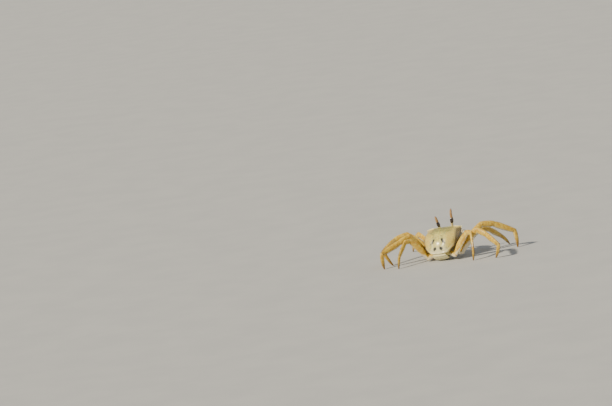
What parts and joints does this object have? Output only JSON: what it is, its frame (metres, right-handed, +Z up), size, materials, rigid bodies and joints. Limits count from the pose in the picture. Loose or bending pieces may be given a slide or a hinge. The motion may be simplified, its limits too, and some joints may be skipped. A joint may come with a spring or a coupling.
{
  "type": "ghost crab",
  "caption": "Life-size horned ghost crab standing on the tips of its long folded legs, boxy straw-coloured shell, tall stalked eyes drawn out into horns, unequal claws held low in front.",
  "frame": {"origin": "on the floor, under the centre of the crab's box", "axes": "+X to the crab's left, -Y the way it faces, +Z up"},
  "size_m": [0.1498, 0.1232, 0.0578],
  "materials": {
    "carapace_shell": "satin shell, straw yellow with grey-green mottling",
    "under_shell": "satin shell, off-white",
    "leg_shell": "satin shell, golden yellow, white on the lower faces",
    "claw_shell": "satin shell, cream",
    "cornea_black": "gloss, near black",
    "horn_tan": "satin, tan to reddish brown"
  },
  "bodies": {
    "root": {"carapace": "carapace_shell", "sternum": "under_shell", "abdomen": "under_shell", "left_mouth_plate": "under_shell", "left_feeler": "carapace_shell", "left_eyestalk": "carapace_shell", "left_cornea": "cornea_black", "left_horn": "horn_tan", "left_claw_arm": "claw_shell", "left_claw_wrist": "claw_shell", "left_claw_palm": "claw_shell", "left_claw_finger": "claw_shell", "left_leg_2_merus": "leg_shell", "left_leg_2_carpus": "leg_shell", "left_leg_2_propodus": "leg_shell", "left_leg_2_dactylus": "leg_shell", "left_leg_3_merus": "leg_shell", "left_leg_3_carpus": "leg_shell", "left_leg_3_propodus": "leg_shell", "left_leg_3_dactylus": "leg_shell", "left_leg_4_merus": "leg_shell", "left_leg_4_carpus": "leg_shell", "left_leg_4_propodus": "leg_shell", "left_leg_4_dactylus": "leg_shell", "left_leg_5_merus": "leg_shell", "left_leg_5_carpus": "leg_shell", "left_leg_5_propodus": "leg_shell", "left_leg_5_dactylus": "leg_shell", "right_mouth_plate": "under_shell", "right_feeler": "carapace_shell", "right_eyestalk": "carapace_shell", "right_cornea": "cornea_black", "right_horn": "horn_tan", "right_claw_arm": "claw_shell", "right_claw_wrist": "claw_shell", "right_claw_palm": "claw_shell", "right_claw_finger": "claw_shell", "right_leg_2_merus": "leg_shell", "right_leg_2_carpus": "leg_shell", "right_leg_2_propodus": "leg_shell", "right_leg_2_dactylus": "leg_shell", "right_leg_3_merus": "leg_shell", "right_leg_3_carpus": "leg_shell", "right_leg_3_propodus": "leg_shell", "right_leg_3_dactylus": "leg_shell", "right_leg_4_merus": "leg_shell", "right_leg_4_carpus": "leg_shell", "right_leg_4_propodus": "leg_shell", "right_leg_4_dactylus": "leg_shell", "right_leg_5_merus": "leg_shell", "right_leg_5_carpus": "leg_shell", "right_leg_5_propodus": "leg_shell", "right_leg_5_dactylus": "leg_shell"}
  },
  "joints": []
}
